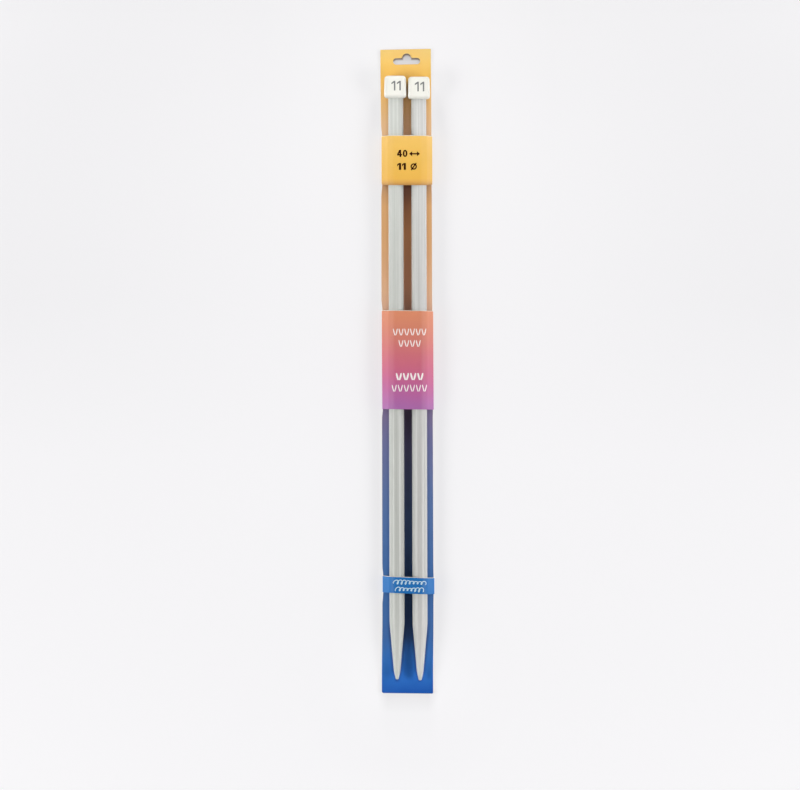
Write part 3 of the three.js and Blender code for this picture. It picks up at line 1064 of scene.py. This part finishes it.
def build_cap(side):
    flat, round_steps = 10, 9
    count = 4 * (flat + round_steps)

    def ring(half, radius, h, bulge=True):
        out = []
        for q in range(4):
            ca, sa = math.cos(q * math.pi / 2), math.sin(q * math.pi / 2)
            local = []
            for i in range(flat):
                t = -1 + 2 * i / flat
                x = t * (half - radius)
                y = half + (cap_bulge(x, half, h) if bulge else 0.0)
                local.append((x, y))
            for i in range(round_steps):
                a = math.pi / 2 * (1 - i / round_steps)
                local.append((half - radius + radius * math.cos(a), half - radius + radius * math.sin(a)))
            # quarter turns go clockwise from the front face
            out += [(x * ca + y * sa, -x * sa + y * ca, h) for x, y in local]
        return out

    def circle(radius, h):
        """A ring of the same count, so that it joins the square ones without a twist."""
        out = []
        base = ring(6.0, 2.2, 0.0, False)
        for x, z, _ in base:
            a = math.atan2(z, x)
            out.append((ASIDE[side] + radius * math.cos(a), radius * math.sin(a), h))
        return out

    levels = []
    for i in range(9):
        a = math.pi / 2 * i / 8
        levels.append(FILLET_LOW * (1 - math.cos(a)))
    body = [3.4, 4.8, 6.4, 7.3, 7.55, 7.65, 7.75, 8.0, 8.9, 10.2, 11.6, 12.8]
    levels += body
    for i in range(9):
        a = math.pi / 2 * i / 8
        levels.append(CAP_HEIGHT - FILLET_TOP + FILLET_TOP * math.sin(a))
    rings = []
    for h in levels:
        half = cap_half(h)
        lost = (CAP_SIZE / 2 - 0.03 * h) - half
        radius = max(0.7, 2.3 - 0.55 * max(0.0, lost))
        seam = 0.022 if abs(h - 7.65) < 0.02 else 0.0    # the mould's parting line
        rings.append(ring(half + seam, radius, h))
    # crowned top
    half = cap_half(CAP_HEIGHT)
    for k in (0.86, 0.68, 0.48, 0.26):
        rings.append(ring(half * k, max(0.35, 1.3 * k), CAP_HEIGHT + 0.20 * (1 - k * k) - 0.02, False))
    top_centre = (0.0, 0.0, CAP_HEIGHT + 0.19)

    # underside: to a round seat for the shaft, then the spigot
    under = []
    half = cap_half(0.0)
    under.append([(x * 0.5 + cx * 0.5, z * 0.5 + cz * 0.5, 0.0) for (x, z, _), (cx, cz, _) in zip(ring(half, 1.2, 0.0, False), circle(5.42, 0.0))])
    under.append(circle(5.36, 0.02))
    under.append(circle(5.30, 0.10))
    under.append(circle(5.30, 0.45))
    under.append(circle(3.72, 0.45))
    under.append(circle(3.62, 0.35))
    under.append(circle(3.60, -6.0))
    under.append(circle(3.60, -12.8))
    under.append(circle(3.0, -14.0))
    under.append(circle(1.5, -14.0))
    bottom_centre = (ASIDE[side], 0.0, -14.0)

    ordered = list(reversed(under)) + rings
    verts = []
    for r in ordered:
        verts += [needle_point(side, x, h, z) for x, z, h in r]
    faces = grid_faces(len(ordered), count, close_cols=True)
    b = len(verts)
    verts.append(needle_point(side, bottom_centre[0], bottom_centre[2], bottom_centre[1]))
    t = len(verts)
    verts.append(needle_point(side, top_centre[0], top_centre[2], top_centre[1]))
    last = (len(ordered) - 1) * count
    faces += [(b, (i + 1) % count, i) for i in range(count)]
    faces += [(t, last + i, last + (i + 1) % count) for i in range(count)]
    ob = new_object(f"{side}_end_cap", verts, faces, [IVORY], None, 50.0)
    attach(ob, f"{side}_needle")
    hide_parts(f"{side}_cap")
    return ob


# ------------------------------------------------------------------ print


def filled(loops, pitch=0.4):
    """Small triangles over a region, so that it bends with what it is printed on.
    The first loop is the outline and the others are holes."""
    points, edges = [], []
    for loop in loops:
        fine = []
        for a, b in zip(loop, loop[1:] + loop[:1]):
            fine += straight(a, b, pitch)
        k = len(points)
        points += fine
        edges += [(k + i, k + (i + 1) % len(fine)) for i in range(len(fine))]
    x0, x1 = min(p[0] for p in loops[0]), max(p[0] for p in loops[0])
    y0, y1 = min(p[1] for p in loops[0]), max(p[1] for p in loops[0])
    seeds = []
    for i in range(1, math.ceil((x1 - x0) / pitch)):
        for j in range(1, math.ceil((y1 - y0) / pitch)):
            p = (x0 + i * pitch, y0 + j * pitch)
            if not inside(p, loops[0]) or any(inside(p, h) for h in loops[1:]):
                continue
            if not near(p, points, 0.6 * pitch):
                seeds.append(p)
    got, _, tris, *_ = delaunay_2d_cdt([Vector(p) for p in points + seeds], edges, [], 0, 1e-7)
    kept = []
    for tri in tris:
        c = tuple(sum(got[i][k] for i in tri) / 3 for k in range(2))
        if inside(c, loops[0]) and not any(inside(c, h) for h in loops[1:]):
            kept.append(tuple(tri))
    used = sorted({i for tri in kept for i in tri})
    new_index = {old: k for k, old in enumerate(used)}
    return (
        np.array([(got[i][0], got[i][1]) for i in used], float),
        [tuple(new_index[i] for i in tri) for tri in kept],
    )


def ellipse(rx, ry, steps, cx=0.0, cy=0.0):
    return [
        (cx + rx * math.cos(2 * math.pi * i / steps), cy + ry * math.sin(2 * math.pi * i / steps))
        for i in range(steps)
    ]


def digit(which, height, stroke):
    """A plain drawn digit, its foot at y = 0 and its left side at x = 0: (loops, width)."""
    h, t = height, stroke
    if which == "0":
        w = 0.66 * h
        steps = 40
        return [
            ellipse(w / 2, h / 2, steps, w / 2, h / 2),
            ellipse(w / 2 - t, h / 2 - t * 0.9, steps, w / 2, h / 2),
        ], w
    if which == "1":
        w = 0.26 * h + t
        return [[(w - t, 0), (w, 0), (w, h), (w - 0.92 * t, h), (0, 0.80 * h), (0, 0.80 * h - 1.05 * t), (w - t, 0.80 * h)]], w
    if which == "4":
        w = 0.70 * h
        right = w - 0.13 * h
        left = right - t
        bar = 0.21 * h
        slope = (h - bar - 0.9 * t) / (left - 0.0)
        inner_top = bar + 0.9 * t + (left - 0.9 * t) * slope * 0.98 - 0.3 * t
        return [
            [
                (left, 0), (right, 0), (right, bar), (w, bar), (w, bar + 0.9 * t), (right, bar + 0.9 * t),
                (right, h), (left - 0.1 * t, h), (0, bar + 0.9 * t), (0, bar), (left, bar),
            ],
            [(left, bar + 0.9 * t), (left, inner_top), (1.05 * t, bar + 0.9 * t)],
        ], w
    raise ValueError(which)


def number(text, height, stroke, gap):
    """Digits side by side, centred on 0, 0."""
    pieces, x = [], 0.0
    for c in text:
        loops, w = digit(c, height, stroke)
        points, polys = filled(loops, 0.36)
        points[:, 0] += x
        pieces.append((points, polys))
        x += w + gap
    for points, _ in pieces:
        points[:, 0] -= (x - gap) / 2
        points[:, 1] -= height / 2
    return pieces


def printed_on(ob, lift=0.03):
    """A way to lay a point on an object's upper side: x, y -> x, y, z, in millimetres."""
    mesh = ob.data
    tree = BVHTree.FromPolygons([v.co.copy() for v in mesh.vertices], [tuple(p.vertices) for p in mesh.polygons])

    def place(x, y, up):
        start = Vector(((x + SHIFT_X) * MM, y * MM, 0.05))
        hit = tree.ray_cast(start, Vector((0, 0, -1)))[0]
        return (x, y, hit.z / MM + (lift + up if up > 0 else -0.02))

    return place


def print_object(name, pieces, thick, place, material, body):
    """One mesh of ink from flat pieces, each (points, polygons), given a little thickness."""
    verts, faces = [], []
    for points, polys in pieces:
        base = len(verts)
        n = len(points)
        verts += [place(x, y, thick) for x, y in points]
        verts += [place(x, y, -1) for x, y in points]
        count = set()
        for p in polys:
            faces.append(tuple(base + i for i in p))
            faces.append(tuple(base + n + i for i in reversed(p)))
            count.update(zip(p, p[1:] + p[:1]))
        for a, b in sorted(count):
            if (b, a) not in count:
                faces.append((base + a, base + n + a, base + n + b, base + b))
    ob = new_object(name, verts, faces, [material], None, 30.0)
    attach(ob, body)
    return ob


def double_arrow(width, height, stroke):
    """A plain sign for a length, as a draughtsman draws it."""
    w, h, t = width / 2, height / 2, stroke / 2
    head = height * 0.60
    return filled(
        [
            [
                (-w, 0), (-w + head, -h), (-w + head, -t), (w - head, -t), (w - head, -h),
                (w, 0), (w - head, h), (w - head, t), (-w + head, t), (-w + head, h),
            ]
        ],
        0.4,
    )


def ring_piece(radius, stroke, steps=40):
    return filled([ellipse(radius + stroke / 2, radius + stroke / 2, steps), ellipse(radius - stroke / 2, radius - stroke / 2, steps)], 0.36)


def moved(piece, dx, dy, turn=0.0):
    points, polys = piece
    c, s = math.cos(turn), math.sin(turn)
    out = np.empty_like(points)
    out[:, 0] = points[:, 0] * c - points[:, 1] * s + dx
    out[:, 1] = points[:, 0] * s + points[:, 1] * c + dy
    return out, polys


def ribbon(path, stroke, ends=0.35):
    """A line of ink along a path of points."""
    pts, polys = [], []
    n = len(path)
    for i, p in enumerate(path):
        a, b = path[max(0, i - 1)], path[min(n - 1, i + 1)]
        d = Vector((b[0] - a[0], b[1] - a[1])).normalized()
        t = min(i, n - 1 - i) / 4
        w = stroke / 2 * min(1.0, ends + (1 - ends) * t)
        pts.append((p[0] - d.y * w, p[1] + d.x * w))
        pts.append((p[0] + d.y * w, p[1] - d.x * w))
    for i in range(n - 1):
        polys.append((2 * i, 2 * i + 1, 2 * i + 3, 2 * i + 2))
    return np.array(pts, float), polys


def stitch(width, height, stroke):
    """One plain knit stitch: two slim leaves that lean together at the foot."""
    out = []
    for side in (-1, 1):
        path = []
        for i in range(15):
            t = i / 14
            bow = math.sin(math.pi * t) * 0.05 * width
            path.append((side * (0.055 * width + 0.5 * stroke * 0.35 + (width / 2 - stroke * 0.45) * t + bow * 0.6), -height / 2 + height * t))
        pts, polys = [], []
        for i, p in enumerate(path):
            t = i / 14
            a, b = path[max(0, i - 1)], path[min(14, i + 1)]
            d = Vector((b[0] - a[0], b[1] - a[1])).normalized()
            w = stroke / 2 * (0.45 + 0.55 * math.sin(math.pi * min(1.0, 0.06 + t * 0.92)) ** 0.5)
            pts.append((p[0] - d.y * w, p[1] + d.x * w))
            pts.append((p[0], p[1]))
            pts.append((p[0] + d.y * w, p[1] - d.x * w))
        for i in range(14):
            k = 3 * i
            polys.append((k, k + 1, k + 4, k + 3))
            polys.append((k + 1, k + 2, k + 5, k + 4))
        out.append((np.array(pts, float), polys))
    return out


PX_X = 0.71                # millimetres that a pixel of the photograph stands for, across
PX_Y = 0.6885              # and along the pack


def at_pixel(px, py):
    """A place on the pack, from the card's middle, for a pixel of the photograph."""
    return ((px - 406.95) * PX_X + 0.55 + (395 - py) * 0.0026 * PX_X, 221.5 - (py - 49.4) * PX_Y)


def build_prints(bands, caps):
    # length and thickness as plain numbers, on the top band
    pieces = []
    cx, cy = at_pixel(401.5, 153.8)
    pieces += [moved(p, cx, cy) for p in number("40", 4.9, 1.12, 0.46)]
    cx, cy = at_pixel(413.4, 154.2)
    pieces.append(moved(double_arrow(7.4, 3.4, 0.95), cx, cy))
    cx, cy = at_pixel(400.8, 166.8)
    pieces += [moved(p, cx, cy) for p in number("11", 4.7, 1.5, 0.60)]
    cx, cy = at_pixel(412.6, 166.9)
    pieces.append(moved(ring_piece(1.75, 0.90), cx, cy))
    slash = filled([[(-3.0, -0.43), (3.0, -0.43), (3.0, 0.43), (-3.0, 0.43)]], 0.4)
    pieces.append(moved(slash, cx, cy, math.radians(54)))
    print_object("size_print", pieces, 0.02, printed_on(bands["top_band"]), BROWN_INK, "sleeve")

    # rows of knit stitches on the middle band
    pieces = []
    for px, py, count, span, height, width, stroke in (
        (408.6, 332.1, 6, 31.7, 4.6, 2.85, 0.68),
        (408.6, 343.5, 4, 20.8, 4.5, 2.85, 0.68),
        (408.6, 376.6, 4, 25.9, 4.8, 3.6, 1.22),
        (408.4, 388.2, 6, 33.5, 4.6, 2.95, 0.70),
    ):
        cx, cy = at_pixel(px, py)
        pitch = (span * PX_X - width) / (count - 1)
        for i in range(count):
            for leaf in stitch(width, height, stroke):
                pieces.append(moved(leaf, cx + (i - (count - 1) / 2) * pitch, cy))
    print_object("stitch_print", pieces, 0.02, printed_on(bands["middle_band"]), WHITE_INK, "sleeve")

    # two lines of looping yarn on the bottom band
    pieces = []
    turn = -math.radians(BANDS["bottom_band"][2])
    for px, py, loops, width, seed in ((408.9, 582.3, 8, 21.8, 0.0), (408.7, 589.3, 7, 18.6, 2.0)):
        cx, cy = at_pixel(px, py)
        path = []
        steps = loops * 26
        for i in range(steps + 1):
            t = i / steps
            a = 2 * math.pi * loops * t
            tall = 1.15 + 0.35 * math.sin(2.1 * math.pi * t + seed)
            y = -tall * math.cos(a)
            x = -width / 2 + width * t - 0.95 * math.sin(a) + 0.25 * y
            path.append((x, y))
        pieces.append(moved(ribbon(path, 0.54), cx, cy, turn))
    print_object("yarn_print", pieces, 0.02, printed_on(bands["bottom_band"]), CYAN_INK, "sleeve")

    # the needles' thickness, on their caps
    for side, (px, py) in (("left", (395.5, 86.2)), ("right", (418.2, 87.2))):
        cx, cy = at_pixel(px, py)
        pieces = [moved(p, cx, cy) for p in number("11", 6.6, 0.98, 1.05)]
        print_object(f"{side}_cap_print", pieces, 0.02, printed_on(caps[side]), GREY_INK, f"{side}_needle")


build_card()
band_objects = {
    "top_band": build_band("top_band", YELLOW),
    "middle_band": build_band("middle_band", CORAL),
    "bottom_band": build_band("bottom_band", BLUE),
}
cap_objects = {}
for side in NEEDLES:
    build_shaft(side)
    cap_objects[side] = build_cap(side)
build_prints(band_objects, cap_objects)


# ------------------------------------------------------------------ stage

WORLD_DARK = 0.02          # radiance of the room straight above,
WORLD_MID = 0.50           # beside the camera,
WORLD_SIDE = 1.12          # to both sides
WORLD_LOW = 0.85           # and near the horizon
SOFTBOX = 9.9              # watts
SOFTBOX_FAR = 1.6
FAR_END = 0.056
OVER_CAPS = 0.034
OVER_TIPS = 0.0014
FLOOR_GLOW = 0.59


def build_floor():
    mesh = bpy.data.meshes.new("floor")
    half = 9.0
    n = 12
    verts = [
        (-half + 2 * half * i / n, -half + 2 * half * j / n, -0.00004)
        for j in range(n + 1)
        for i in range(n + 1)
    ]
    mesh.from_pydata(verts, [], grid_faces(n + 1, n + 1))
    n = Nodes("floor_paper")
    cloud = n.noise(n.coordinates(), 2.2, 3.0, 0.5)
    fall = n.range(n.axis("Y"), -0.20, 0.25, 0.0, 1.0)
    colour = n.mix(fall, (0.350, 0.348, 0.354, 1), (0.300, 0.298, 0.303, 1))
    colour = n.shade(colour, cloud, 0.995, 1.005)
    # the glow stands for light from all round, so it is less under the card's hole
    across = n.math("ABSOLUTE", n.math("SUBTRACT", n.axis("X"), SHIFT_X * MM))
    covered = n.math(
        "MULTIPLY",
        n.range(across, 0.0150, 0.0168, 1.0, 0.0),
        n.math(
            "MULTIPLY",
            n.math(
                "MULTIPLY",
                n.range(n.axis("Y"), y_of(11.5) * MM, y_of(4.5) * MM, 0.30, 0.95),
                n.range(n.axis("Y"), y_of(16) * MM, y_of(13) * MM, 0.0, 1.0),
            ),
            n.range(n.axis("Y"), y_of(2.0) * MM, y_of(0.8) * MM, 1.0, 0.0),
        ),
    )
    glow = n.mix(covered, (1.0, 0.995, 1.015, 1), (0.36, 0.34, 0.37, 1))
    # the glow evened out along the floor, with painted shadow below the card's low end and
    # under the upper rim of its hole
    y = n.axis("Y")
    even = n.math(
        "ADD",
        n.range(y, -0.06, 0.20, 1.062, 0.970),
        n.range(y, -0.28, -0.20, 0.022, 0.0),
    )
    off = n.math("POWER", n.math("SUBTRACT", y, -0.213), 2.0)
    from_tips = n.math("SQRT", n.math("ADD", n.math("POWER", across, 2.0), off))
    even = n.math("SUBTRACT", even, n.range(from_tips, 0.022, 0.080, 0.050, 0.0))
    under = n.math(
        "ADD",
        n.range(y, y_of(457.0) * MM, y_of(443.0) * MM, 0.0, 0.155),
        n.range(y, y_of(479.0) * MM, y_of(443.0) * MM, 0.0, 0.075),
    )
    under = n.math("MULTIPLY", under, n.range(across, 0.014, 0.021, 1.0, 0.0))
    under = n.math("MULTIPLY", under, n.range(y, y_of(442.0) * MM, y_of(440.0) * MM, 1.0, 0.0))
    even = n.math("SUBTRACT", even, under)
    corner = n.math("MULTIPLY", n.range(across, 0.10, 0.28, 0.0, 0.15), n.range(y, 0.05, 0.24, 0.0, 1.0))
    even = n.math("ADD", even, corner)
    hx = n.math("ABSOLUTE", n.math("SUBTRACT", n.axis("X"), (SHIFT_X + HOLE_X) * MM))
    hy = n.math("ADD", y, 0.70 * MM)
    r = (HOLE_BOTTOM_S - HOLE_WING_S) / 2
    end = n.math("MAXIMUM", n.math("SUBTRACT", hx, (HOLE_WIDTH / 2 - r) * MM), 0.0)
    up = n.math("SUBTRACT", hy, y_of((HOLE_BOTTOM_S + HOLE_WING_S) / 2) * MM)
    slot = n.math(
        "SUBTRACT",
        n.math("SQRT", n.math("ADD", n.math("POWER", end, 2.0), n.math("POWER", up, 2.0))),
        r * MM,
    )
    rise = n.math("SUBTRACT", hy, (y_of(HOLE_DOME_S) - HOLE_DOME_R) * MM)
    dome = n.math(
        "SUBTRACT",
        n.math("SQRT", n.math("ADD", n.math("POWER", hx, 2.0), n.math("POWER", rise, 2.0))),
        HOLE_DOME_R * MM,
    )
    rim = n.math(
        "MULTIPLY",
        n.range(n.math("MINIMUM", slot, dome), -0.0006, 0.0004, 0.0, 1.0),
        n.math(
            "MULTIPLY",
            n.range(hx, 0.0105, 0.0115, 1.0, 0.0),
            n.math(
                "MULTIPLY",
                n.range(y, y_of(8.6) * MM, y_of(7.6) * MM, 0.0, 1.0),
                n.range(y, y_of(2.4) * MM, y_of(1.8) * MM, 1.0, 0.0),
            ),
        ),
    )
    grey = n.tree.nodes.new("ShaderNodeCombineColor")
    for i in range(3):
        n.link(even, grey.inputs[i])
    glow = n.mix(1.0, glow, grey.outputs[0], "MULTIPLY")
    # painted shadow under the hole's upper rim: dark brown in both the floor's glow and its colour
    glow = n.mix(rim, glow, (0.40, 0.33, 0.26, 1), "MULTIPLY")
    colour = n.mix(rim, colour, (0.45, 0.37, 0.28, 1), "MULTIPLY")
    mesh.materials.append(
        n.set(
            Base_Color=colour, Roughness=0.75, Specular_IOR_Level=0.2,
            Emission_Color=glow, Emission_Strength=FLOOR_GLOW,
        )
    )
    floor = bpy.data.objects.new("floor", mesh)
    bpy.context.scene.collection.objects.link(floor)
    floor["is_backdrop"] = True


def build_light():
    """A plain studio: two long soft boxes on each side, small ones with grids over and
    beyond the caps and over the points, and a pale room that is dark straight above,
    where the camera is."""
    scene = bpy.context.scene
    world = bpy.data.worlds.new("studio")
    scene.world = world
    world.use_nodes = True
    tree = world.node_tree
    background = tree.nodes["Background"]
    background.inputs["Color"].default_value = (0.975, 0.975, 1.0, 1)

    def calc(operation, a, b=None):
        node = tree.nodes.new("ShaderNodeMath")
        node.operation = operation
        for i, v in enumerate((a, b)):
            if isinstance(v, (int, float)):
                node.inputs[i].default_value = v
            elif v is not None:
                tree.links.new(v, node.inputs[i])
        return node.outputs[0]

    def remap(value, f0, f1, t0, t1):
        node = tree.nodes.new("ShaderNodeMapRange")
        node.interpolation_type = "SMOOTHSTEP"
        tree.links.new(value, node.inputs["Value"])
        for key, v in (("From Min", f0), ("From Max", f1), ("To Min", t0), ("To Max", t1)):
            node.inputs[key].default_value = v
        return node.outputs["Result"]

    where = tree.nodes.new("ShaderNodeTexCoord")
    split = tree.nodes.new("ShaderNodeSeparateXYZ")
    tree.links.new(where.outputs["Generated"], split.inputs[0])
    x, y, z = split.outputs
    flat = calc("ADD", calc("MULTIPLY", x, x), calc("MULTIPLY", z, z))
    sideways = calc("SQRT", calc("DIVIDE", calc("MULTIPLY", x, x), calc("ADD", flat, 0.0001)))
    near = remap(sideways, 0.70, 0.80, WORLD_DARK, WORLD_MID)
    far = remap(sideways, 0.80, 0.90, 0.0, 1.0)
    above = calc("ADD", calc("MULTIPLY", near, calc("SUBTRACT", 1.0, far)), calc("MULTIPLY", far, WORLD_SIDE))
    low = remap(z, 0.08, 0.24, 1.0, 0.0)
    strength = calc(
        "ADD", calc("MULTIPLY", above, calc("SUBTRACT", 1.0, low)), calc("MULTIPLY", low, WORLD_LOW)
    )
    tree.links.new(strength, background.inputs["Strength"])

    def panel(name, place, target, width, height, power, spread=180):
        """An area light: width is its horizontal side, height the one that leans."""
        light = bpy.data.lights.new(name, "AREA")
        light.shape = "RECTANGLE"
        light.size, light.size_y = width, height
        light.energy = power
        light.color = (1.0, 0.992, 0.975)
        light.spread = math.radians(spread)
        ob = bpy.data.objects.new(name, light)
        ob.location = place
        ob.rotation_euler = (Vector(place) - Vector(target)).to_track_quat("Z", "Y").to_euler()
        ob.visible_camera = False
        scene.collection.objects.link(ob)

    panel("softbox_far_end", (0.0, 0.80, 0.52), (0.0, 0.19, 0.0), 0.16, 0.26, 0.2 * FAR_END, 32)
    panel("softbox_over_caps", (0.0, 0.205, 0.45), (0.0, 0.205, 0.0), 0.36, 0.16, OVER_CAPS, 44)
    for name, sign, y in (("left", -1, -0.28), ("right", 1, -0.24)):
        panel(f"softbox_{name}", (sign * 1.182, y, 0.923), (0, y, 0), 0.72, 0.42, SOFTBOX)
        panel(f"softbox_far_{name}", (sign * 1.182, 0.80, 0.923), (0, 0.80, 0), 0.90, 0.42, SOFTBOX_FAR)
        panel(f"softbox_end_{name}", (sign * 0.30, 0.80, 0.52), (0, 0.19, 0), 0.16, 0.26, FAR_END, 32)
        panel(f"softbox_tips_{name}", (sign * 0.37, -0.24, 0.47), (0, -0.209, 0), 0.06, 0.06, OVER_TIPS, 8)


def build_camera():
    data = bpy.data.cameras.new("camera")
    distance = 5.0
    data.sensor_width = 36.0
    data.lens = 36.0 * distance / (800 * PX_Y * MM)
    data.clip_start, data.clip_end = 0.05, 100
    cam = bpy.data.objects.new("camera", data)
    cam.location = (-0.0050, -0.01645, distance + 0.007)
    cam.rotation_euler = (0, 0, -0.0026)
    bpy.context.scene.collection.objects.link(cam)
    bpy.context.scene.camera = cam


build_floor()
build_light()
build_camera()
bpy.context.scene.view_settings.view_transform = "Standard"
bpy.context.scene.view_settings.look = "None"

boxes = {"cad": CAD_BOX, "visual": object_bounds()}
{k: [list(corner) for corner in v] for k, v in boxes.items()}
